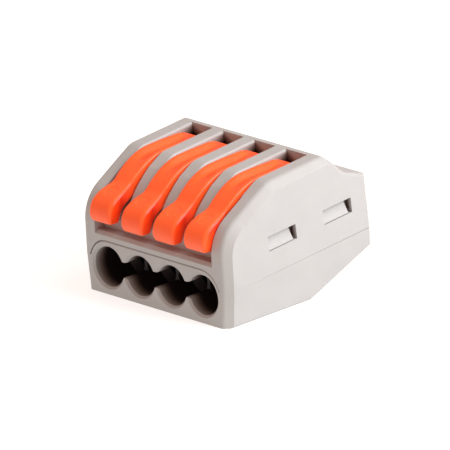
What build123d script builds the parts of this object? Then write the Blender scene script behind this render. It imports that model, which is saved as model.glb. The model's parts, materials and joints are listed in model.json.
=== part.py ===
from build123d import *
import math
import os

os.makedirs("parts", exist_ok=True)

# A four-pole lever splicing connector: a grey two-part case, four orange levers, four cage
# clamps and one common busbar.  Millimetres.  X runs across the poles, Y from the wire entries
# (front) to the back, Z up from the flat bottom that the connector rests on.

# ---------------------------------------------------------------- driving dimensions
POLES = 4
PITCH = 4.8                     # spacing of the poles
WIDTH = 22.5                    # case, across the poles
DEPTH = 20.5                    # case, front face to back face
TAB_PROUD = 0.8                 # how far the finger tabs stand out in front of the case
TILT = 5.2                      # degrees: seam, windows and top rise towards the back
SLIDE_GAP = 0.05                # clearance of a running or sliding fit, each side

FRONT = TAB_PROUD - (DEPTH + TAB_PROUD) / 2     # front face of the case
SLOPE = math.tan(math.radians(TILT))

# side outline of the case, as (Y, Z) points
SEAM_FRONT = 3.95               # height of the seam at the front face
CREASE = (-2.8, 14.3)           # where the curved front meets the flat top
RIDGE_Y = 5.0                   # highest line of the case
CURVE_MID = (-7.8, 11.3)        # joint of the two arcs of the front curve
CURVE_FOOT = 7.6                # height where the front curve leaves the front face
BOTTOM_END = 2.2                # end of the flat bottom; a long chamfer rises behind it
CHAMFER_END = (10.95, 3.8)      # foot of the back face
BACK_TOP = (10.35, 11.85)       # top corner of the back face
BACK_STEP = (7.5, 12.7)         # change of slope behind the ridge
SIDE_DRAFT = 5.0                # degrees: the base narrows below the seam
FRONT_RIM = 0.85                # bevel of the side faces' front and top edges
RIM_ROUND = 0.7                 # its inner edge is rounded by this, its outer edge is crisp
BACK_RIM = 0.35                 # rounding of their back and bottom edges
SEAM_LAND = 0.01                # the base reaches this far above the start of its draft
SEAM_GAP = 0.05                 # the housing stands off the base by this, a fine line all round
WALL = 1.0                      # floor and back walls

# wire entries: round tunnels that run into each other just behind the front face
ENTRY_R = 2.2
ENTRY_Z = 3.05
ENTRY_LIP = 0.25
MERGE_DEPTH = 3.2               # the tunnels are open to each other this far in
MERGE_LOW = 2.35                # ridge between two tunnels
MERGE_HIGH = 4.1                # tip of the tooth between two tunnels
TOOTH_FILLET = 0.4
GUIDE_LENGTH = 1.6              # full round guide for the wire's insulation
CONDUCTOR_R = 1.45
BLOCK_END = -4.3                # back of the entry block
BLOCK_R = 2.8                   # outline of the entry block around the end tunnels
BLOCK_Z = 3.15
BEZEL_BEVEL = 0.15

# chambers and lever slots
CHAMBER_W = 3.7
CHAMBER_ROOF = 10.4
CHAMBER_BACK = 9.0
CHAMBER_BEVEL = 0.9             # bevel where the chamber's roof meets its front wall
CHAMBER_REAR = ((6.8, 11.3), (CHAMBER_BACK, 10.6))      # roof behind the lever's cam
CHAMBER_FLOOR = ((BLOCK_END, WALL), (1.7, WALL), (CHAMBER_BACK, 4.0))
SLOT_W = 2.9
POCKET_BACK = 4.5               # back wall of the slots, just in front of the ridge
POCKET_STEP = 13.0              # height where the back wall of a slot opens into the chamber
POCKET_UNDERCUT = 0.45
SLOT_EDGE_FILLET = 0.25         # of the slots' upper edges and the noses of the ribs
SLOT_EDGE_LOW = 13.6            # those edges lie above this
SLOT_FRONT = -1.2               # the slot is a closed groove in front of this
GROOVE = ((-6.28, 10.33), (-4.38, 11.87), (-2.27, 12.64))      # floor of that groove
GROOVE_END_Z = 12.2
GROOVE_FOOT = (-8.4, 8.0)

# recess under and behind the finger tabs
SILL_Z = 6.85
RECESS_HALF = 8.95
RIB_NOSE = ((-8.55, SILL_Z), (-7.75, 9.8), (-6.45, 11.6), (-4.55, 13.32), CREASE)
SILL_DROP = 0.35                # bevel of the sill's front edge

# levers
PIVOT = (0.95, 11.5)            # lever axis
TRUNNION_R = 0.8
HUB_R = 1.25
CAM_R = 3.45
CAM_TOP = 60.0                  # degrees: the cam's arc ends here, at the lever's nose
LEVER_W = SLOT_W - 0.15
TAB_W = 3.3
TRUNNION_SPAN = CHAMBER_W - 2 * SLIDE_GAP
BLADE_CREASE = (-2.7, 14.24)
BLADE_MID = (-5.2, 13.3)
NECK = (-7.45, 11.5)
UNDERSIDE = ((-2.35, 12.94), (-4.53, 12.13), (-6.5, 10.55))
TAB_BACK = ((-8.0, 10.0), (-8.95, 9.1), (-9.2, 7.95))
TAB_FRONT = ((-10.35, 7.95), (-10.72, 8.5), (-10.72, 9.3), (-10.15, 10.3), (-9.2, 10.9))
TAB_ROOT = ((-7.6, 11.45), (-8.0, 10.1))
CLOSED_LIFT = (1.0, 0.0, 0.0, 1.0)      # degrees: the end levers rest a little higher

# metal parts
BAR_Z = 4.5
BAR_T = 0.9
BAR_Y = (1.0, 4.4)
BAR_LENGTH = 17.4
TONGUE_CORNER = 0.5
TONGUE_END = -4.1
TONGUE_W = 2.3
STRIP_T = 0.4
STRIP_W = 3.4
WINDOW_W = 2.5
LEG_Y = -3.2
LEG_FOOT = 3.7
CLAMP_BAR = 0.75                # cross-bar under the spring's window
WINDOW_TOP = 8.3
SPRING_TOP = 9.95
SPRING_BACK = 3.6
FRONT_BEND = 0.8

# side latches
LATCH_W = 4.05
LATCH_H = 1.65
LATCH_MIDS = ((-1.85, 8.08), (6.15, 8.81))      # (Y, Z) of the two windows on each side
ARM_T = 0.9
ARM_OUTER = 10.5
ARM_RISE = 0.4                  # arm above the window
LATCH_REACH = 8.0               # long enough to cut the grooves through to the seam
WEDGE_GAP = 0.07
WEDGE_BACK_GAP = 0.45           # the wedge leaves the back end of its window open
WEDGE_ROOT = 0.1                # overlap of wedge and arm
WEDGE_SINK = 0.1                # the wedge's lip lies this far inside the side face
WEDGE_L = LATCH_W - WEDGE_GAP - WEDGE_BACK_GAP
WEDGE_SHIFT = (WEDGE_BACK_GAP - WEDGE_GAP) / 2

OVERCUT = 0.5                   # cutters pass the faces that they open by this
STEEP = 0.9                     # a side face's normal is nearer to X than this

pole_x = [(i - (POLES - 1) / 2) * PITCH for i in range(POLES)]
case_top = CREASE[1] + (RIDGE_Y - CREASE[0]) * SLOPE
pocket_deep = POCKET_BACK + POCKET_UNDERCUT


def seam_z(y):
    """Height of the seam at depth y."""
    return SEAM_FRONT + (y - FRONT) * SLOPE


def polar(angle, radius):
    """Point at an angle from +Y towards +Z around the lever's axis."""
    turn = math.radians(angle)
    return (PIVOT[0] + radius * math.cos(turn), PIVOT[1] + radius * math.sin(turn))


def is_slot_edge(edge):
    """True on the upper edges of the slots and on the curved noses of the ribs."""
    middle = edge.center()
    if min(abs(abs(middle.X - x) - SLOT_W / 2) for x in pole_x) > SLIDE_GAP:
        return False
    along_slot = abs(edge.tangent_at(0.5).Y) > 0.5
    upper = middle.Z > SLOT_EDGE_LOW and middle.Y < POCKET_BACK - SLIDE_GAP
    return edge.geom_type == GeomType.BSPLINE or (along_slot and upper)


def side_rim(part, side):
    """Edges round one side of the case, but not the line where its draft starts at the seam."""
    flanks = part.faces().filter_by(lambda f: f.normal_at().X * side > STEEP)
    return flanks.edges().filter_by(lambda e: abs(seam.to_local_coords(e.center()).Z) > SEAM_GAP)


def is_front_rim(point):
    """True for a point on the front or the top of a side's rim, in front of the ridge."""
    in_front = point.Y < CREASE[0] and point.Z > FRONT_RIM / 2
    return in_front or (point.Z > SILL_Z and point.Y < RIDGE_Y)


def is_inner_rim(edge):
    """True on the inner edges of the front rim's bevel."""
    from_side = WIDTH / 2 - abs(edge.center().X)
    lengthwise = edge.bounding_box().size.X < OVERCUT
    return abs(from_side - FRONT_RIM) < OVERCUT and lengthwise and is_front_rim(edge.center())


tilted = math.radians(TILT)
seam = Plane(origin=(0, FRONT, SEAM_FRONT), x_dir=(1, 0, 0),
             z_dir=(0, -math.sin(tilted), math.cos(tilted)))
seam_cross = Plane(origin=(0, FRONT, SEAM_FRONT), x_dir=(1, 0, 0),
                   z_dir=(0, -math.cos(tilted), -math.sin(tilted)))


# ---------------------------------------------------------------- outer form of the case
# One block with the outer shape; the housing and the base are its two halves.
with BuildPart() as case:
    with BuildSketch(Plane.YZ) as outline:
        with BuildLine():
            Polyline((FRONT, CURVE_FOOT), (FRONT, 0), (BOTTOM_END, 0), CHAMFER_END, BACK_TOP,
                     BACK_STEP, (RIDGE_Y, case_top), CREASE)
            front_curve = TangentArc((FRONT, CURVE_FOOT), CURVE_MID, tangent=(0, 1))
            TangentArc(CURVE_MID, CREASE, tangent=front_curve % 1)
        make_face()
        for corner, radius in ((BACK_STEP, 1.5), (CREASE, 2.5)):
            fillet(outline.vertices().sort_by_distance(Vector(*corner))[0], radius)
    extrude(amount=WIDTH / 2, both=True)
    # below the seam the sides lean inwards
    drop = 1.5 * SEAM_FRONT
    draft = drop * math.tan(math.radians(SIDE_DRAFT))
    with BuildSketch(seam_cross):
        with BuildLine():
            Polyline((-WIDTH / 2, 0), (-WIDTH / 2 + draft, -drop), (WIDTH / 2 - draft, -drop),
                     (WIDTH / 2, 0), (WIDTH / 2, case_top), (-WIDTH / 2, case_top), close=True)
        make_face()
    extrude(amount=2 * DEPTH, both=True, mode=Mode.INTERSECT)
    for side in (-1, 1):
        chamfer(side_rim(case.part, side).filter_by(lambda e: is_front_rim(e.center())), FRONT_RIM)
        fillet(side_rim(case.part, side).filter_by(lambda e: not is_front_rim(e.center())), BACK_RIM)
    fillet(case.edges().filter_by(is_inner_rim), RIM_ROUND)

front_face = Plane.XZ.offset(-FRONT)            # looks out of the case towards -Y
DEEPER = -1                                     # extrusions from front_face into the case


def latch_plane(y, z):
    """Plane across the case at a latch, its Y axis square to the seam."""
    return Plane(origin=(0, y, z), x_dir=(1, 0, 0), z_dir=seam_cross.z_dir)


# ---------------------------------------------------------------- housing (upper half)
with BuildPart() as housing:
    add(case.part)
    split(bisect_by=seam.offset(SEAM_GAP), keep=Keep.TOP)

    # room for the base's entry block
    with BuildSketch(front_face):
        with Locations((0, BLOCK_Z)):
            SlotCenterToCenter((POLES - 1) * PITCH, 2 * (BLOCK_R + SLIDE_GAP))
    extrude(amount=DEEPER * (BLOCK_END - FRONT), mode=Mode.SUBTRACT)

    # recess for the finger tabs: sill below, noses of the ribs behind
    with BuildSketch(Plane.YZ):
        with BuildLine():
            Spline(*RIB_NOSE, tangents=((0.1, 1), (1, 0.4)))
            Polyline(CREASE, (CREASE[0], case_top), (FRONT - OVERCUT, case_top),
                     (FRONT - OVERCUT, SILL_Z - SILL_DROP), (FRONT, SILL_Z - SILL_DROP),
                     (FRONT + SILL_DROP, SILL_Z), RIB_NOSE[0])
        make_face()
    extrude(amount=RECESS_HALF, both=True, mode=Mode.SUBTRACT)

    for x in pole_x:
        # slot for the lever, open to the chamber below
        with BuildSketch(Plane.YZ.offset(x)):
            with BuildLine():
                floor = ThreePointArc(*GROOVE)
                Polyline(floor @ 1, (SLOT_FRONT, GROOVE_END_Z), (SLOT_FRONT, CHAMBER_ROOF - OVERCUT),
                         (pocket_deep, CHAMBER_ROOF - OVERCUT),
                         (pocket_deep, POCKET_STEP - POCKET_UNDERCUT), (POCKET_BACK, POCKET_STEP),
                         (POCKET_BACK, case_top + OVERCUT), (FRONT, case_top + OVERCUT),
                         (FRONT, GROOVE_FOOT[1]), GROOVE_FOOT, floor @ 0)
            make_face()
        extrude(amount=SLOT_W / 2, both=True, mode=Mode.SUBTRACT)
        # chamber for the clamp
        with BuildSketch(Plane.YZ.offset(x)):
            with BuildLine():
                Polyline((BLOCK_END, 0), (BLOCK_END, CHAMBER_ROOF - CHAMBER_BEVEL),
                         (BLOCK_END + CHAMBER_BEVEL, CHAMBER_ROOF), (pocket_deep, CHAMBER_ROOF),
                         (pocket_deep, POCKET_STEP - 2 * POCKET_UNDERCUT), *CHAMBER_REAR,
                         (CHAMBER_BACK, 0), close=True)
            make_face()
        extrude(amount=CHAMBER_W / 2, both=True, mode=Mode.SUBTRACT)
        # bearing for the lever's trunnions: round above, open below for assembly
        with BuildSketch(Plane.YZ.offset(x)):
            with Locations(PIVOT):
                Circle(TRUNNION_R + SLIDE_GAP)
                Rectangle(2 * (TRUNNION_R + SLIDE_GAP), PIVOT[1] - CHAMBER_ROOF + OVERCUT,
                          align=(Align.CENTER, Align.MAX))
        extrude(amount=CHAMBER_W / 2, both=True, mode=Mode.SUBTRACT)

    fillet(housing.edges().filter_by(is_slot_edge), SLOT_EDGE_FILLET)

    # notch across the partitions for the busbar
    with BuildSketch(Plane.XY):
        with Locations((0, sum(BAR_Y) / 2)):
            Rectangle(BAR_LENGTH + 2 * SLIDE_GAP, BAR_Y[1] - BAR_Y[0] + 2 * SLIDE_GAP)
    extrude(amount=BAR_Z + BAR_T + SLIDE_GAP, mode=Mode.SUBTRACT)

    # latch windows in both sides, and the grooves behind them for the base's arms
    for y, z in LATCH_MIDS:
        with BuildSketch(latch_plane(y, z)):
            Rectangle(WIDTH + OVERCUT, LATCH_H)
            with Locations((0, LATCH_H / 2 + ARM_RISE + SLIDE_GAP)):
                Rectangle(2 * (ARM_OUTER + SLIDE_GAP), LATCH_REACH, align=(Align.CENTER, Align.MAX))
            with Locations((0, -LATCH_REACH)):
                Rectangle(2 * (ARM_OUTER - ARM_T - SLIDE_GAP), 4 * LATCH_REACH, mode=Mode.SUBTRACT)
        extrude(amount=LATCH_W / 2, both=True, mode=Mode.SUBTRACT)
housing.part.label = "housing"
export_step(housing.part, "parts/housing.step")

# ---------------------------------------------------------------- base (lower half)
with BuildPart() as base:
    add(case.part)
    split(bisect_by=seam.offset(SEAM_LAND), keep=Keep.BOTTOM)

    # entry block, standing up into the housing
    with BuildSketch(front_face):
        with Locations((0, BLOCK_Z)):
            SlotCenterToCenter((POLES - 1) * PITCH, 2 * BLOCK_R)
    extrude(amount=DEEPER * (BLOCK_END - FRONT))
    bezel = base.edges().filter_by(lambda e: abs(e.center().Y - FRONT) < SEAM_LAND
                                   and e.center().Z > SEAM_FRONT + OVERCUT)
    chamfer(bezel, BEZEL_BEVEL)

    # the entries are one toothed opening first, then four round guides that narrow
    with BuildSketch(front_face) as mouth:
        with Locations(*[(x, ENTRY_Z) for x in pole_x]):
            Circle(ENTRY_R)
        with Locations((0, (MERGE_LOW + MERGE_HIGH) / 2)):
            Rectangle((POLES - 1) * PITCH, MERGE_HIGH - MERGE_LOW)
        fillet(mouth.vertices(), TOOTH_FILLET)
    extrude(amount=DEEPER * MERGE_DEPTH, mode=Mode.SUBTRACT)
    with Locations(*[(x, FRONT, ENTRY_Z) for x in pole_x]):
        Cone(ENTRY_R + ENTRY_LIP, ENTRY_R, ENTRY_LIP, rotation=(-90, 0, 0),
             align=(Align.CENTER, Align.CENTER, Align.MIN), mode=Mode.SUBTRACT)
    with BuildSketch(front_face.offset(-MERGE_DEPTH)):
        with Locations(*[(x, ENTRY_Z) for x in pole_x]):
            Circle(ENTRY_R)
    extrude(amount=DEEPER * GUIDE_LENGTH, mode=Mode.SUBTRACT)
    taper_start = FRONT + MERGE_DEPTH + GUIDE_LENGTH
    for x in pole_x:
        with BuildSketch(Plane.XZ.offset(-taper_start)):
            with Locations((x, ENTRY_Z)):
                Circle(ENTRY_R)
        with BuildSketch(Plane.XZ.offset(-BLOCK_END)):
            with Locations((x, ENTRY_Z)):
                Circle(CONDUCTOR_R)
        loft(mode=Mode.SUBTRACT)
        # chamber for the clamp and the wire's bare end
        with BuildSketch(Plane.YZ.offset(x)):
            with BuildLine():
                Polyline(*CHAMBER_FLOOR, (CHAMBER_BACK, 2 * SEAM_FRONT),
                         (BLOCK_END, 2 * SEAM_FRONT), close=True)
            make_face()
        extrude(amount=CHAMBER_W / 2, both=True, mode=Mode.SUBTRACT)

    # seats of the busbar in the partitions
    with BuildSketch(Plane.XY.offset(BAR_Z)):
        with Locations((0, sum(BAR_Y) / 2)):
            Rectangle(BAR_LENGTH + 2 * SLIDE_GAP, BAR_Y[1] - BAR_Y[0] + 2 * SLIDE_GAP)
    extrude(amount=2 * BAR_T, mode=Mode.SUBTRACT)

    # latch arms with their wedges, on both sides
    for y, z in LATCH_MIDS:
        with BuildSketch(latch_plane(y, z)) as arm:
            for side in (-1, 1):
                with Locations((side * (ARM_OUTER - ARM_T / 2), LATCH_H / 2 + ARM_RISE)):
                    Rectangle(ARM_T, LATCH_H / 2 + ARM_RISE + z - seam_z(y) + OVERCUT,
                              align=(Align.CENTER, Align.MAX))
        extrude(amount=LATCH_W / 2 - 2 * SLIDE_GAP, both=True)
        with BuildSketch(latch_plane(y, z).offset(WEDGE_SHIFT)):
            for side in (-1, 1):
                with BuildLine():
                    Polyline((side * (ARM_OUTER - WEDGE_ROOT), -LATCH_H / 2 + WEDGE_GAP),
                             (side * (WIDTH / 2 - WEDGE_SINK), -LATCH_H / 2 + WEDGE_GAP),
                             (side * (WIDTH / 2 - 2 * WEDGE_SINK), -LATCH_H / 2 + 3 * WEDGE_GAP),
                             (side * (ARM_OUTER - WEDGE_ROOT), LATCH_H / 2 - WEDGE_GAP),
                             close=True)
                make_face()
        extrude(amount=WEDGE_L / 2, both=True)
base.part.label = "base"
export_step(base.part, "parts/base.step")

# ---------------------------------------------------------------- busbar
with BuildPart() as busbar:
    with BuildSketch(Plane.XY.offset(BAR_Z)) as plate:
        with Locations((0, sum(BAR_Y) / 2)):
            Rectangle(BAR_LENGTH, BAR_Y[1] - BAR_Y[0])
        with Locations(*[(x, TONGUE_END) for x in pole_x]):
            Rectangle(TONGUE_W, BAR_Y[1] - TONGUE_END, align=(Align.CENTER, Align.MIN))
        fillet(plate.vertices().group_by(Axis.Y)[0], TONGUE_CORNER)
    extrude(amount=BAR_T)
    tips = busbar.edges().filter_by(Axis.X).group_by(Axis.Y)[0]
    chamfer(tips, BAR_T / 4)
busbar.part.label = "busbar"
export_step(busbar.part, "parts/busbar.step")

# ---------------------------------------------------------------- cage clamps
# Each is a strip that lies on the busbar, loops over and comes down in front of the bar's tongue,
# which passes through a window in it.
strip_z = BAR_Z + BAR_T + STRIP_T / 2
for number, x in enumerate(pole_x, start=1):
    with BuildPart() as clamp:
        with BuildSketch(Plane.YZ.offset(x)):
            with BuildLine():
                foot = Line((LEG_Y + 2 * STRIP_T, strip_z), (SPRING_BACK, strip_z))
                loop = TangentArc(foot @ 1, (SPRING_BACK, SPRING_TOP), tangent=foot % 1)
                top = Line(loop @ 1, (LEG_Y + FRONT_BEND, SPRING_TOP))
                bend = TangentArc(top @ 1, (LEG_Y, SPRING_TOP - FRONT_BEND), tangent=top % 1)
                Line(bend @ 1, (LEG_Y, LEG_FOOT))
            trace(line_width=STRIP_T)
        extrude(amount=STRIP_W / 2, both=True)
        with BuildSketch(Plane.XY.offset(LEG_FOOT + CLAMP_BAR)):
            with Locations((x, LEG_Y)):
                Rectangle(WINDOW_W, 2 * STRIP_T)
        extrude(amount=WINDOW_TOP - LEG_FOOT - CLAMP_BAR, mode=Mode.SUBTRACT)
    clamp.part.label = f"clamp_{number}"
    export_step(clamp.part, f"parts/clamp_{number}.step")


# ---------------------------------------------------------------- levers
def lever_plane(x, lift):
    """Side plane of a lever in the case's (Y, Z), turned open by lift degrees about PIVOT."""
    hinge = Plane(origin=(x, *PIVOT), x_dir=(0, 1, 0), z_dir=(1, 0, 0)).rotated((-lift, 0, 0))
    corner = hinge.from_local_coords((-PIVOT[0], -PIVOT[1], 0))
    return Plane(origin=corner, x_dir=hinge.x_dir, z_dir=hinge.z_dir)


# Each has a finger tab, a curved blade, a cam that presses on its clamp, and two trunnions.
cam_low = -math.degrees(math.asin(HUB_R / CAM_R))
for number, x in enumerate(pole_x, start=1):
    flank = lever_plane(x, CLOSED_LIFT[number - 1])
    with BuildPart() as lever:
        with BuildSketch(flank):
            with BuildLine():
                cam = ThreePointArc(polar(CAM_TOP, CAM_R), polar(20, CAM_R), polar(cam_low, CAM_R))
                hub_foot = Line(cam @ 1, polar(-90, HUB_R))
                hub = ThreePointArc(hub_foot @ 1, polar(180, HUB_R), polar(135, HUB_R))
                Line(hub @ 1, UNDERSIDE[0])
                under = ThreePointArc(*UNDERSIDE)
                Polyline(under @ 1, *TAB_BACK, *TAB_FRONT, NECK)
                blade = ThreePointArc(NECK, BLADE_MID, BLADE_CREASE)
                Line(blade @ 1, cam @ 0)
            make_face()
        extrude(amount=LEVER_W / 2, both=True)
        # the tab is a little wider than the blade
        with BuildSketch(flank):
            with BuildLine():
                Polyline(*TAB_FRONT, *TAB_ROOT, *TAB_BACK[1:], close=True)
            make_face()
        extrude(amount=TAB_W / 2, both=True)
        with BuildSketch(flank):
            with Locations(PIVOT):
                Circle(TRUNNION_R)
        extrude(amount=TRUNNION_SPAN / 2, both=True)
    lever.part.label = f"lever_{number}"
    export_step(lever.part, f"parts/lever_{number}.step")
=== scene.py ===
import json
import math

import bmesh
import bpy
from mathutils import Matrix, Vector


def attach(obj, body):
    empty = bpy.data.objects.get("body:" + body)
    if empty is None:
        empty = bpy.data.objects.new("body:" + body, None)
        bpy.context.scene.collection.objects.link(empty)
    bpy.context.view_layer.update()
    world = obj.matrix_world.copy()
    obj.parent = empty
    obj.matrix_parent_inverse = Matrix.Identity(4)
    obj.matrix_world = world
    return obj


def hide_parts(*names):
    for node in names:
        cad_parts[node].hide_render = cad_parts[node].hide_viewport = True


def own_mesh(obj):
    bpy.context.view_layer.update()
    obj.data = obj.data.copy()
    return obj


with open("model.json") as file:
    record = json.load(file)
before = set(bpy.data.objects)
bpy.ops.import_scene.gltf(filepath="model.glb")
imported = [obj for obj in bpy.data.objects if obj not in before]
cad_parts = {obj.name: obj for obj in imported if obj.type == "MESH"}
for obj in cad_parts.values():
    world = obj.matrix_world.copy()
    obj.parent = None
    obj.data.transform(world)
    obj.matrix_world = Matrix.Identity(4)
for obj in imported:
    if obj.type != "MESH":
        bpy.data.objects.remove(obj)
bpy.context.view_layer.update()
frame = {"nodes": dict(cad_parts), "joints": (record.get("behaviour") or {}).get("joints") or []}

# A four-pole lever splicing connector in grey and orange plastic.  Lengths are in millimetres until
# mm() or a factor MM makes them metres.  X runs across the poles, -Y out of the wire entries, Z up.

MM = 0.001
scene = bpy.context.scene
nodes = frame["nodes"]
hinges = {joint["child"]: joint for joint in frame["joints"]}


def mm(*values):
    """Point in metres from millimetres."""
    return Vector(values) * MM


# ------------------------------------------------------------------------------- materials
def new_material(name, metallic=0.0, roughness=0.5, **sockets):
    """Principled material; constant values are set straight on the shader's sockets."""
    material = bpy.data.materials.new(name)
    material.use_nodes = True
    shader = material.node_tree.nodes["Principled BSDF"]
    shader.inputs["Metallic"].default_value = metallic
    shader.inputs["Roughness"].default_value = roughness
    for socket, value in sockets.items():
        shader.inputs[socket.replace("_", " ")].default_value = value
    return material, shader


def add_node(material, kind, **settings):
    """Adds a node and sets its attributes, or its input sockets where the name matches one."""
    node = material.node_tree.nodes.new(kind)
    for name, value in settings.items():
        if hasattr(node, name):
            setattr(node, name, value)
        else:
            node.inputs[name.replace("_", " ")].default_value = value
    return node


def link(material, source, target):
    material.node_tree.links.new(source, target)


NOISE_ROUGHNESS = 0.55
NOISE_LOW, NOISE_HIGH = 0.3, 0.7        # a noise is mostly between these


def noise(material, coordinates, size_mm, detail=3.0):
    """Noise whose blotches are about size_mm across."""
    texture = add_node(material, "ShaderNodeTexNoise", Scale=1.0 / (size_mm * MM), Detail=detail,
                       Roughness=NOISE_ROUGHNESS)
    link(material, coordinates, texture.inputs["Vector"])
    return texture.outputs["Fac"]


def ramp(material, factor, stops):
    """Colour ramp over (position, colour) stops."""
    node = add_node(material, "ShaderNodeValToRGB")
    elements = node.color_ramp.elements
    while len(elements) < len(stops):
        elements.new(0.5)
    for element, (position, colour) in zip(elements, stops):
        element.position = position
        element.color = (*colour, 1.0)
    link(material, factor, node.inputs["Fac"])
    return node.outputs["Color"]


def span(material, factor, low, high):
    """Maps a noise's usual range to low..high."""
    node = add_node(material, "ShaderNodeMapRange", From_Min=NOISE_LOW, From_Max=NOISE_HIGH,
                    To_Min=low, To_Max=high)
    link(material, factor, node.inputs["Value"])
    return node.outputs["Result"]


def bump(material, heights):
    """Stacked bumps from (height output, depth in mm) pairs; returns the last normal."""
    normal = None
    for height, depth_mm in heights:
        node = add_node(material, "ShaderNodeBump", Strength=1.0, Distance=depth_mm * MM)
        link(material, height, node.inputs["Height"])
        if normal is not None:
            link(material, normal, node.inputs["Normal"])
        normal = node.outputs["Normal"]
    return normal


def calculate(material, operation, *values):
    """Math node over numbers and outputs."""
    node = add_node(material, "ShaderNodeMath", operation=operation)
    for socket, value in zip(node.inputs, values):
        if isinstance(value, (int, float)):
            socket.default_value = value
        else:
            link(material, value, socket)
    return node.outputs[0]


def fade(material, value, start, end):
    """Smooth 0 to 1 as value goes from start to end, which may be the lower one."""
    node = add_node(material, "ShaderNodeMapRange", interpolation_type="SMOOTHSTEP",
                    From_Min=start, From_Max=end)
    link(material, value, node.inputs["Value"])
    return node.outputs["Result"]


def product(material, first, *others):
    for other in others:
        first = calculate(material, "MULTIPLY", first, other)
    return first


def axes_mm(material, place):
    """X, Y and Z in millimetres."""
    parts = add_node(material, "ShaderNodeSeparateXYZ")
    link(material, place, parts.inputs["Vector"])
    return [calculate(material, "MULTIPLY", parts.outputs[axis], 1 / MM) for axis in "XYZ"]


def mixed(material, kind, factor, first, second):
    """Colour mix of two outputs or plain colours."""
    node = add_node(material, "ShaderNodeMix", data_type="RGBA", blend_type=kind)
    colours = [socket for socket in node.inputs if socket.type == "RGBA"]
    for socket, colour in zip(colours, (first, second)):
        if isinstance(colour, tuple):
            socket.default_value = (*colour, 1.0)
        else:
            link(material, colour, socket)
    if isinstance(factor, float):
        node.inputs["Factor"].default_value = factor
    else:
        link(material, factor, node.inputs["Factor"])
    return [socket for socket in node.outputs if socket.type == "RGBA"][0]


BLOTCH_MM, GLOSS_MM, GRAIN_MM, WAVE_MM = 3.5, 0.9, 0.09, 1.6     # noise sizes on plastic
WAVE_DEPTH = 0.02
METAL_GRAIN_MM, METAL_PATCH_MM = 0.12, 1.2
ALONG_STRIP = (1.0, 0.08, 1.0)          # stretches a metal's grain along Y


def moulded_plastic(name, shades, roughness, grain_depth, shading, **sockets):
    """Moulded plastic: faint blotches of shade, uneven gloss, fine spark grain and soft waves.

    shading(material, place, colour) paints shade into the colour by the place on the part."""
    material, shader = new_material(name, **sockets)
    place = add_node(material, "ShaderNodeTexCoord").outputs["Object"]
    blotches = noise(material, place, BLOTCH_MM, detail=4.0)
    colour = ramp(material, blotches,
                  [(NOISE_LOW, shades[0]), (0.5, shades[1]), (NOISE_HIGH, shades[2])])
    link(material, shading(material, place, colour), shader.inputs["Base Color"])
    link(material, span(material, noise(material, place, GLOSS_MM), *roughness),
         shader.inputs["Roughness"])
    grain = noise(material, place, GRAIN_MM, detail=2.0)
    waves = noise(material, place, WAVE_MM, detail=1.0)
    link(material, bump(material, [(waves, WAVE_DEPTH), (grain, grain_depth)]),
         shader.inputs["Normal"])
    return material


def rolled_metal(name, shades, roughness, grain_depth):
    """Metal strip: brushed grain stretched along the rolling direction, with dull patches."""
    material, shader = new_material(name, metallic=1.0)
    place = add_node(material, "ShaderNodeTexCoord").outputs["Object"]
    stretch = add_node(material, "ShaderNodeMapping", Scale=ALONG_STRIP)
    link(material, place, stretch.inputs["Vector"])
    grain = noise(material, stretch.outputs["Vector"], METAL_GRAIN_MM, detail=5.0)
    patches = noise(material, place, METAL_PATCH_MM, detail=4.0)
    link(material, ramp(material, patches, [(0.35, shades[0]), (0.65, shades[1])]),
         shader.inputs["Base Color"])
    link(material, span(material, grain, *roughness), shader.inputs["Roughness"])
    link(material, bump(material, [(grain, grain_depth)]), shader.inputs["Normal"])
    return material


def tint(colour, factor):
    return tuple(channel * factor for channel in colour)


PITCH = 4.8                     # between neighbouring poles, in X
# Regions of the case where shade is painted: fades of a measure, 0 at the first number and 1 at the
# second and beyond.
# ENTRIES are the wire entries, POCKETS lie behind the levers, RECESS below the finger tabs.
ENTRIES = (("y", -9.87, -8.0), ("y", -1.0, -2.0), ("across", 9.65, 9.6), ("z", 5.7, 5.6),
           ("z", 0.4, 0.5))
POCKETS = (("leaning", 0.5, 2.2), ("depth", 0.05, 0.5), ("y", 1.6, 4.5), ("z", 6.5, 7.5),
           ("y", 4.98, 4.96), ("across", 9.3, 9.2))
RECESS = (("z", 10.8, 8.6), ("y", -9.8, -8.9), ("y", -5.0, -6.0), ("across", 9.05, 9.0),
          ("z", 6.4, 6.5))
LATCH_GAP = (("across", 11.15, 10.5), ("across", 9.5, 9.7), ("z", 6.6, 6.9), ("z", 10.4, 10.2))
LATCH_GAP_ENDS = ((("y", -0.30, -0.28), ("y", 0.23, 0.21)),
                  (("y", 7.70, 7.72), ("y", 8.23, 8.21)))      # open ends of the latch windows
LATCH_SHADE = 0.8               # how dark the painted shade at these ends is
TOP_SLOPE, TOP_Z = 0.091, 14.555        # the case's flat top: its rise along Y, its Z at Y = 0
POCKET_LEAN = -0.6              # depth added per millimetre to the right: the painted shade is darker on the left
# painted shade: no change, then dark brown, then near black where the shade is deepest
PAINTED_SHADE_RAMP = [(0.0, (1.0, 1.0, 1.0)), (0.5, (0.46, 0.34, 0.30)), (1.0, (0.03, 0.016, 0.015))]
# painted shade below the finger tabs, reddish like light bounced off the orange levers
RECESS_PAINTED_SHADE = (1.0, 0.82, 0.80)

# Regions of the levers where shade is painted, in the same way.
FLANK = (("sideways_facing", 0.45, 0.95),)
CHANNEL = (("up_facing", 0.3, 0.7), ("sideways", -0.45, 0.1), ("sideways", 1.2, 0.8),
           ("y", -5.6, -3.6))
# painted shade: deeper orange on the channel's right flank, which faces away from the key light
CHANNEL_SHADE_ORANGE = (1.0, 0.078, 0.006)
FLANK_START, FLANK_SPAN = -10.8, 4.0    # where the flanks' painted shadow starts, and its length, in Y
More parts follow.
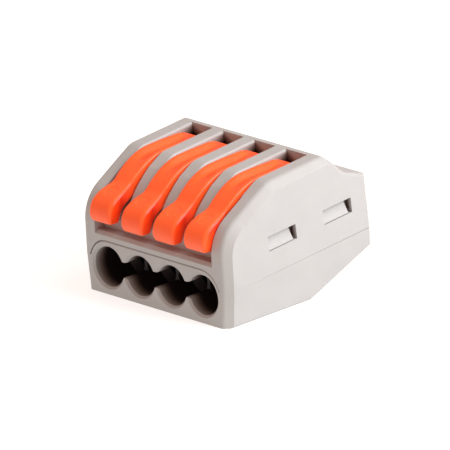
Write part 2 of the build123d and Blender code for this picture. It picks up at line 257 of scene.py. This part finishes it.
# painted shadow on the levers' side faces: red-orange at the tab's front, darkest red behind the
# tab, orange again up the blade
FLANK_PAINTED_SHADES = [(0.0, (1.0, 0.11, 0.014)), (0.25, (1.0, 0.055, 0.003)),
                (0.48, (0.62, 0.022, 0.002)), (0.64, (0.80, 0.04, 0.004)),
                (1.0, (1.0, 0.095, 0.014))]


def region(material, measures, fades):
    """1 inside a region, 0 outside."""
    return product(material, *[fade(material, measures[key], start, end)
                               for key, start, end in fades])


def across_pole(material, x):
    """Distance to the right of the nearest pole's middle, in millimetres."""
    moved = calculate(material, "ADD", x, 2 * PITCH)
    return calculate(material, "SUBTRACT", calculate(material, "MODULO", moved, PITCH), PITCH / 2)


def painted_cavity_shade(material, place, colour):
    """Painted shade: dark brown in the wire entries, the pockets behind the levers, the latches and
    the recess.
    """
    x, y, z = axes_mm(material, place)
    top = calculate(material, "MULTIPLY_ADD", y, TOP_SLOPE, TOP_Z)
    depth = calculate(material, "SUBTRACT", top, z)
    measures = {"y": y, "z": z, "depth": depth, "across": calculate(material, "ABSOLUTE", x),
                "leaning": calculate(material, "MULTIPLY_ADD", across_pole(material, x),
                                     POCKET_LEAN, depth)}
    # painted shade deep in the wire entries, the pockets and the latch windows' ends
    shade = calculate(material, "MAXIMUM", region(material, measures, ENTRIES),
                      region(material, measures, POCKETS))
    for ends in LATCH_GAP_ENDS:
        gap = region(material, measures, ends + LATCH_GAP)
        shade = calculate(material, "MAXIMUM", shade,
                          calculate(material, "MULTIPLY", gap, LATCH_SHADE))
    colour = mixed(material, "MULTIPLY", 1.0, colour, ramp(material, shade, PAINTED_SHADE_RAMP))
    # painted shade and painted orange bounce in the recess below the finger tabs
    return mixed(material, "MULTIPLY", region(material, measures, RECESS), colour, RECESS_PAINTED_SHADE)


def painted_lever_shade(material, place, colour):
    """Painted shade: deeper orange in the levers' channels and on their flanks.

    The flanks turn red towards the back of the finger tabs, a painted shadow between the tabs."""
    normal = add_node(material, "ShaderNodeSeparateXYZ")
    link(material, add_node(material, "ShaderNodeTexCoord").outputs["Normal"],
         normal.inputs["Vector"])
    x, y, _ = axes_mm(material, place)
    measures = {"y": y, "sideways": across_pole(material, x), "up_facing": normal.outputs["Z"],
                "sideways_facing": calculate(material, "ABSOLUTE", normal.outputs["X"])}
    # painted shade on the channel's right flank
    colour = mixed(material, "MIX", region(material, measures, CHANNEL), colour, CHANNEL_SHADE_ORANGE)
    along = calculate(material, "MULTIPLY_ADD", y, 1 / FLANK_SPAN, -FLANK_START / FLANK_SPAN)
    # painted shadow on the side faces, by their facing and by Y
    return mixed(material, "MIX", region(material, measures, FLANK), colour,
                 ramp(material, along, FLANK_PAINTED_SHADES))


GREY = (0.385, 0.380, 0.372)
ORANGE = (1.0, 0.112, 0.018)
# the case's colour carries painted shade in its cavities and below the finger tabs
case_plastic = moulded_plastic("case_plastic", [tint(GREY, 0.97), GREY, tint(GREY, 1.03)],
                               roughness=(0.40, 0.52), grain_depth=0.004, shading=painted_cavity_shade,
                               Subsurface_Weight=0.12, Subsurface_Radius=(1.0, 0.9, 0.8),
                               Subsurface_Scale=0.4 * MM, Specular_IOR_Level=0.4)
# the levers' colour carries painted shade in the channels and on the flanks
lever_plastic = moulded_plastic("lever_plastic",
                                [(0.98, 0.105, 0.016), ORANGE, (1.0, 0.122, 0.021)],
                                roughness=(0.33, 0.45), grain_depth=0.003, shading=painted_lever_shade,
                                Subsurface_Weight=0.18, Subsurface_Radius=(1.0, 0.25, 0.08),
                                Subsurface_Scale=0.6 * MM, Specular_IOR_Level=0.40)
tinned_copper = rolled_metal("tinned_copper", [(0.72, 0.69, 0.63), (0.82, 0.80, 0.75)],
                             roughness=(0.22, 0.38), grain_depth=0.004)
spring_steel = rolled_metal("spring_steel", [(0.34, 0.34, 0.35), (0.42, 0.42, 0.43)],
                            roughness=(0.34, 0.44), grain_depth=0.001)


def finish_with(obj, material):
    """Gives an object this material alone."""
    obj.data.materials.clear()
    obj.data.materials.append(material)


# ------------------------------------------------------------------------------- mesh helpers
def mesh_piece(name, points, faces, material):
    """Smooth object from points in millimetres and faces."""
    mesh = bpy.data.meshes.new(name)
    mesh.from_pydata([mm(*point) for point in points], [], faces)
    mesh.update()
    check = bmesh.new()
    check.from_mesh(mesh)
    bmesh.ops.recalc_face_normals(check, faces=check.faces)
    check.to_mesh(mesh)
    check.free()
    for polygon in mesh.polygons:
        polygon.use_smooth = True
    piece = bpy.data.objects.new(name, mesh)
    scene.collection.objects.link(piece)
    finish_with(piece, material)
    return piece


def catmull_rom(keys, steps):
    """Smooth rows through the key rows; each row is a tuple of numbers."""
    rows = []
    last = len(keys) - 1
    for i in range(last):
        before, start, end, after = (keys[max(i - 1, 0)], keys[i], keys[i + 1],
                                     keys[min(i + 2, last)])
        for step in range(steps):
            t = step / steps
            rows.append(tuple(
                0.5 * (2 * b + (c - a) * t + (2 * a - 5 * b + 4 * c - d) * t * t
                       + (3 * b - a - 3 * c + d) * t ** 3)
                for a, b, c, d in zip(before, start, end, after)))
    rows.append(tuple(keys[-1]))
    return rows


def smooth_step(value, start, end):
    """0 before start, 1 after end, smooth between."""
    t = min(max((value - start) / (end - start), 0.0), 1.0)
    return t * t * (3 - 2 * t)


# ------------------------------------------------------------------------------- levers
PIVOT_YZ = (0.95, 11.5)
END_LIFT = {"lever_1": 1.0, "lever_2": 0.0, "lever_3": 0.0, "lever_4": 1.0}   # degrees at rest
# stations from the nose over the crease, down the blade and round the finger tab:
# top Y, top Z, under Y, under Z, half width, channel depth, edge radius
LEVER_STATIONS = [
    (2.20, 14.46, 2.20, 12.70, 1.375, 0.44, 0.20),
    (0.60, 14.40, 0.60, 12.80, 1.375, 0.50, 0.20),
    (-1.40, 14.30, -1.30, 12.95, 1.375, 0.50, 0.20),
    (-2.90, 14.14, -2.35, 12.94, 1.375, 0.46, 0.20),
    (-4.10, 13.80, -3.50, 12.60, 1.37, 0.30, 0.20),
    (-5.25, 13.24, -4.53, 12.13, 1.36, 0.08, 0.22),
    (-6.40, 12.45, -5.60, 11.40, 1.33, 0.0, 0.24),
    (-7.35, 11.66, -6.50, 10.60, 1.30, 0.0, 0.28),
    (-8.10, 11.30, -7.30, 10.20, 1.47, 0.0, 0.34),
    (-8.75, 11.05, -8.00, 9.90, 1.60, 0.0, 0.38),
    (-9.45, 10.74, -8.50, 9.55, 1.64, 0.0, 0.42),
    (-10.12, 10.26, -8.80, 9.25, 1.65, 0.0, 0.42),
    (-10.53, 9.62, -9.00, 8.90, 1.65, 0.0, 0.42),
    (-10.69, 8.90, -9.12, 8.55, 1.63, 0.0, 0.40),
    (-10.62, 8.40, -9.18, 8.25, 1.58, 0.0, 0.36),
    (-10.48, 8.10, -9.22, 8.08, 1.50, 0.0, 0.30),
]
STATION_STEPS = 10
CHANNEL_FLAT, CHANNEL_EDGE = 0.05, 1.10     # half widths of the channel's floor and of its mouth
MARK_CENTRE, MARK_R = (-8.75, 0.0), 0.80    # ejector mark on the tab, (Y, X from the pole)
MARK_DEPTH, MARK_EDGE = 0.06, 0.10
MARK_LOW = 10.0                             # the mark is on the tab's top, above this
LEVER_HALF, TRUNNION_HALF = 1.375, 1.80
CAM_R, HUB_R, TRUNNION_R = 3.45, 1.25, 0.80
CAM_TOP, CAM_LOW = 56.0, -21.2              # degrees
HUB_LOW, HUB_TOP = -90.0, -225.0
CAM_NECK = [(-1.6, 13.0), (-1.6, 13.6), (1.6, 14.1)]    # where the cam runs into the blade
CAM_BEVEL, PIN_BEVEL = 0.12, 0.1
BEVEL_ANGLE = 50                            # edges sharper than this are bevelled
SHARP_ANGLE = 40
TOP_COLUMNS = 44
CORNER_STEPS, SIDE_STEPS, CAP_STEPS = 6, 6, 6
CAM_STEPS, HUB_STEPS, PIN_STEPS = 24, 16, 35
EDGE_LIMIT = 0.9                            # an edge radius is at most this share of the half width
UNDER_ROUND, UNDER_NIP = 0.5, 0.15          # shares of the edge radius on the underside
NOSE_ROUND, FOOT_ROUND = 0.55, 0.12
NOSE_OUT, FOOT_OUT = (1.0, 0.0), (0.05, -1.0)           # directions out of the ends, (Y, Z)


def turned(y, z, turn):
    """(Y, Z) turned about the levers' pivot by turn radians."""
    away_y, away_z = y - PIVOT_YZ[0], z - PIVOT_YZ[1]
    return (PIVOT_YZ[0] + away_y * math.cos(turn) - away_z * math.sin(turn),
            PIVOT_YZ[1] + away_y * math.sin(turn) + away_z * math.cos(turn))


def section(row, inset=0.0):
    """Closed loop of one lever station as (X, Y, Z), from the left of the top edge round."""
    top_y, top_z, under_y, under_z, half, depth, edge = row
    down_y, down_z = under_y - top_y, under_z - top_z
    height = math.hypot(down_y, down_z)
    down_y, down_z = down_y / height, down_z / height
    half -= inset
    edge = min(edge, half * EDGE_LIMIT)

    def point(x, drop):
        return (x, top_y + down_y * drop, top_z + down_z * drop)

    loop = []
    for i in range(TOP_COLUMNS + 1):
        x = (half - edge) * (2 * i / TOP_COLUMNS - 1)
        drop = inset + depth * (1 - smooth_step(abs(x), CHANNEL_FLAT, CHANNEL_EDGE))
        away = math.hypot(top_y - MARK_CENTRE[0], x - MARK_CENTRE[1])
        if top_z > MARK_LOW:
            drop += MARK_DEPTH * (1 - smooth_step(away, MARK_R - MARK_EDGE, MARK_R))
        loop.append(point(x, drop))
    for i in range(1, CORNER_STEPS + 1):
        turn = math.pi / 2 * i / CORNER_STEPS
        loop.append(point(half - edge + edge * math.sin(turn),
                          inset + edge * (1 - math.cos(turn))))
    side_top, side_end = inset + edge, height - inset - edge * UNDER_ROUND
    for i in range(1, SIDE_STEPS + 1):
        loop.append(point(half, side_top + (side_end - side_top) * i / SIDE_STEPS))
    loop.append(point(half - edge * UNDER_NIP, height - inset - edge * UNDER_NIP))
    loop.append(point(half - edge * UNDER_ROUND, height - inset))
    mirrored = [(-x, y, z) for x, y, z in loop[TOP_COLUMNS + 1:]]
    return loop + mirrored[::-1]


def rounded_end(row, outward, radius):
    """Sections that round off an end; outward is the (Y, Z) direction out of it."""
    loops = []
    for i in range(1, CAP_STEPS + 1):
        turn = math.pi / 2 * i / CAP_STEPS
        shift = radius * math.sin(turn)
        moved = (row[0] + outward[0] * shift, row[1] + outward[1] * shift,
                 row[2] + outward[0] * shift, row[3] + outward[1] * shift, *row[4:])
        loops.append(section(moved, radius * (1 - math.cos(turn))))
    return loops


def arc(centre, radius, start, end, steps):
    """Points on an arc in (Y, Z), angles in degrees from +Y towards +Z."""
    angles = [math.radians(start + (end - start) * i / steps) for i in range(steps + 1)]
    return [(centre[0] + radius * math.cos(a), centre[1] + radius * math.sin(a)) for a in angles]


def plate(name, outline, half_width, x_middle, turn, bevel_mm, material):
    """Plate with this (Y, Z) outline, half_width to each side of x_middle, with rounded edges."""
    count = len(outline)
    points = [(x, *turned(y, z, turn)) for x in (x_middle - half_width, x_middle + half_width)
              for y, z in outline]
    faces = [(i, (i + 1) % count, count + (i + 1) % count, count + i) for i in range(count)]
    faces += [tuple(range(count)), tuple(range(count, 2 * count))]
    piece = mesh_piece(name, points, faces, material)
    bevel = piece.modifiers.new("edges", "BEVEL")
    bevel.width = bevel_mm * MM
    bevel.segments = 2
    bevel.limit_method = "ANGLE"
    bevel.angle_limit = math.radians(BEVEL_ANGLE)
    return piece


def applied(piece):
    """Bakes a piece's modifiers into its mesh."""
    view = bpy.context.evaluated_depsgraph_get()
    mesh = bpy.data.meshes.new_from_object(piece.evaluated_get(view))
    piece.modifiers.clear()
    piece.data = mesh
    return piece


def combined(name, operation, first, *others):
    """Boolean of pieces as one piece with smooth shading up to sharp edges."""
    for other in others:
        boolean = first.modifiers.new("combine", "BOOLEAN")
        boolean.operation = operation
        boolean.solver = "EXACT"
        boolean.object = applied(other)
    applied(first)
    for other in others:
        bpy.data.objects.remove(other)
    first.name = name
    first.data.set_sharp_from_angle(angle=math.radians(SHARP_ANGLE))
    return first


def cam_piece(name, x_pole, turn):
    """The lever's inner end: a cam sector that runs into the hub, and the two trunnions."""
    cam_outline = (arc(PIVOT_YZ, CAM_R, CAM_TOP, CAM_LOW, CAM_STEPS)
                   + arc(PIVOT_YZ, HUB_R, HUB_LOW, HUB_TOP, HUB_STEPS) + CAM_NECK)
    cam = plate(f"{name}_cam", cam_outline, LEVER_HALF, x_pole, turn, CAM_BEVEL, lever_plastic)
    pin_outline = arc(PIVOT_YZ, TRUNNION_R, 0, 350, PIN_STEPS)
    pin = plate(f"{name}_pin", pin_outline, TRUNNION_HALF, x_pole, turn, PIN_BEVEL, lever_plastic)
    return combined(f"{name}_inner", "UNION", cam, pin)


def make_lever(name):
    """Smooth lever around its CAD node's place: blade with a channel, and a rounded finger tab."""
    rows = catmull_rom(LEVER_STATIONS, STATION_STEPS)
    loops = rounded_end(rows[0], NOSE_OUT, NOSE_ROUND)[::-1]
    loops += [section(row) for row in rows]
    loops += rounded_end(rows[-1], FOOT_OUT, FOOT_ROUND)
    x_pole = hinges[name]["pos_m"][0] / MM
    turn = math.radians(-END_LIFT[name])
    points = [(x_pole + x, *turned(y, z, turn)) for loop in loops for x, y, z in loop]
    count = len(loops[0])
    faces = [(i * count + j, i * count + (j + 1) % count, (i + 1) * count + (j + 1) % count,
              (i + 1) * count + j) for i in range(len(loops) - 1) for j in range(count)]
    faces.append(tuple(range(count)))
    faces.append(tuple(range((len(loops) - 1) * count, len(loops) * count)))
    blade = mesh_piece(f"{name}_blade", points, faces, lever_plastic)
    cam = cam_piece(name, x_pole, turn)
    return combined(f"{name}_body", "UNION", blade, cam)


# ------------------------------------------------------------------------------- clamps
STRIP_T, STRIP_HALF = 0.38, 1.69
FOOT_Z, SPRING_TOP = 5.6, 9.95          # the strip's middle on the busbar and at the top
SPRING_BACK, BEND_R = 3.6, 0.8
LEG_Y, LEG_FOOT = -3.2, 3.7
WINDOW_HALF, WINDOW_LOW, WINDOW_TOP = 1.25, 4.45, 8.3
WINDOW_CUT = (LEG_Y - 1, LEG_Y + 0.5)   # the window is cut from here to here, in Y
STRIP_BEVEL, WINDOW_BEVEL = 0.06, 0.3
LOOP_STEPS, BEND_STEPS = 20, 8


def strip_side(offset):
    """One side of the bent strip, offset from its middle, from the foot's front to the leg."""
    loop_r = (SPRING_TOP - FOOT_Z) / 2
    bend_y = LEG_Y + BEND_R
    return ([(bend_y, FOOT_Z - offset)]
            + arc((SPRING_BACK, FOOT_Z + loop_r), loop_r + offset, -90, 90, LOOP_STEPS)
            + arc((bend_y, SPRING_TOP - BEND_R), BEND_R + offset, 90, 180, BEND_STEPS)
            + [(LEG_Y - offset, LEG_FOOT)])


def make_clamp(number):
    """Cage clamp: bent spring strip with the busbar's window in its front leg."""
    name = f"clamp_{number}"
    x_pole = hinges[f"lever_{number}"]["pos_m"][0] / MM
    outline = strip_side(STRIP_T / 2) + strip_side(-STRIP_T / 2)[::-1]
    strip = plate(f"{name}_strip", outline, STRIP_HALF, x_pole, 0.0, STRIP_BEVEL, spring_steel)
    near, far = WINDOW_CUT
    window = [(near, WINDOW_LOW), (far, WINDOW_LOW), (far, WINDOW_TOP), (near, WINDOW_TOP)]
    cutter = plate(f"{name}_window", window, WINDOW_HALF, x_pole, 0.0, WINDOW_BEVEL,
                   spring_steel)
    clamp = combined(f"{name}_spring", "DIFFERENCE", applied(strip), cutter)
    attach(clamp, "case")
    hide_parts(name)
    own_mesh(clamp)


for number in (1, 2, 3, 4):
    make_clamp(number)

for name in END_LIFT:
    lever = make_lever(name)
    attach(lever, name)
    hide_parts(name)

finish_with(nodes["housing"], case_plastic)
finish_with(nodes["base"], case_plastic)
finish_with(nodes["busbar"], tinned_copper)

# ------------------------------------------------------------------------------- stage and light
HALF_FLOOR = 1.5                # metres
FLOOR_Z = -0.02 * MM            # just clear of the case's flat bottom
GLOW = 0.76                     # keeps the paper white around soft shadows
floor_mesh = bpy.data.meshes.new("floor")
floor_mesh.from_pydata([(x * HALF_FLOOR, y * HALF_FLOOR, FLOOR_Z)
                        for x, y in ((-1, -1), (1, -1), (1, 1), (-1, 1))], [], [(0, 1, 2, 3)])
floor = bpy.data.objects.new("floor", floor_mesh)
scene.collection.objects.link(floor)
paper, paper_shader = new_material("paper", roughness=0.9, Specular_IOR_Level=0.0,
                                   Emission_Color=(1.0, 0.99, 0.98, 1.0), Emission_Strength=GLOW)
paper_place = add_node(paper, "ShaderNodeTexCoord").outputs["Object"]
link(paper, ramp(paper, noise(paper, paper_place, 30.0), [(0.3, (0.40, 0.385, 0.37)),
                                                          (0.7, (0.42, 0.405, 0.39))]),
     paper_shader.inputs["Base Color"])
finish_with(floor, paper)

WORLD_COLOUR, WORLD_STRENGTH = (1.0, 0.75, 0.64, 1.0), 0.66
SOFTBOX_COLOUR = (0.96, 1.0, 1.04)
AIM = mm(0, 0, 7)               # near the object's middle
world = bpy.data.worlds.new("studio")
scene.world = world
world.use_nodes = True
background = world.node_tree.nodes["Background"]
background.inputs["Color"].default_value = WORLD_COLOUR
background.inputs["Strength"].default_value = WORLD_STRENGTH


def softbox(name, place_mm, size_mm, watts):
    """Square area light at a place, aimed at the object."""
    light = bpy.data.lights.new(name, "AREA")
    light.shape = "SQUARE"
    light.size = size_mm * MM
    light.energy = watts
    light.color = SOFTBOX_COLOUR
    lamp = bpy.data.objects.new(name, light)
    scene.collection.objects.link(lamp)
    lamp.location = mm(*place_mm)
    lamp.rotation_mode = "QUATERNION"
    lamp.rotation_quaternion = (AIM - lamp.location).to_track_quat("-Z", "Y")


softbox("key", (212, 66, 134), 130, 0.65)
softbox("top", (110, 60, 245), 150, 0.34)

# ------------------------------------------------------------------------------- camera
AZIMUTH, ELEVATION, ROLL = (math.radians(angle) for angle in (47.759, 18.909, -3.207))
TARGET = mm(1.009, -0.48, 6.918)
DISTANCE = 1127.694 * MM
SENSOR = 36.0
LENS = 862.83

back = Vector((math.sin(AZIMUTH) * math.cos(ELEVATION), -math.cos(AZIMUTH) * math.cos(ELEVATION),
               math.sin(ELEVATION)))
level_right = Vector((math.cos(AZIMUTH), math.sin(AZIMUTH), 0.0))
level_up = back.cross(level_right)
right = math.cos(ROLL) * level_right + math.sin(ROLL) * level_up
up = -math.sin(ROLL) * level_right + math.cos(ROLL) * level_up
camera_data = bpy.data.cameras.new("camera")
camera_data.sensor_width = SENSOR
camera_data.lens = LENS
camera_data.clip_start = DISTANCE / 10
camera_data.clip_end = DISTANCE * 10
camera = bpy.data.objects.new("camera", camera_data)
scene.collection.objects.link(camera)
axes = Matrix((right, up, back)).transposed().to_4x4()
camera.matrix_world = Matrix.Translation(TARGET + back * DISTANCE) @ axes
scene.camera = camera
scene.view_settings.view_transform = "Standard"
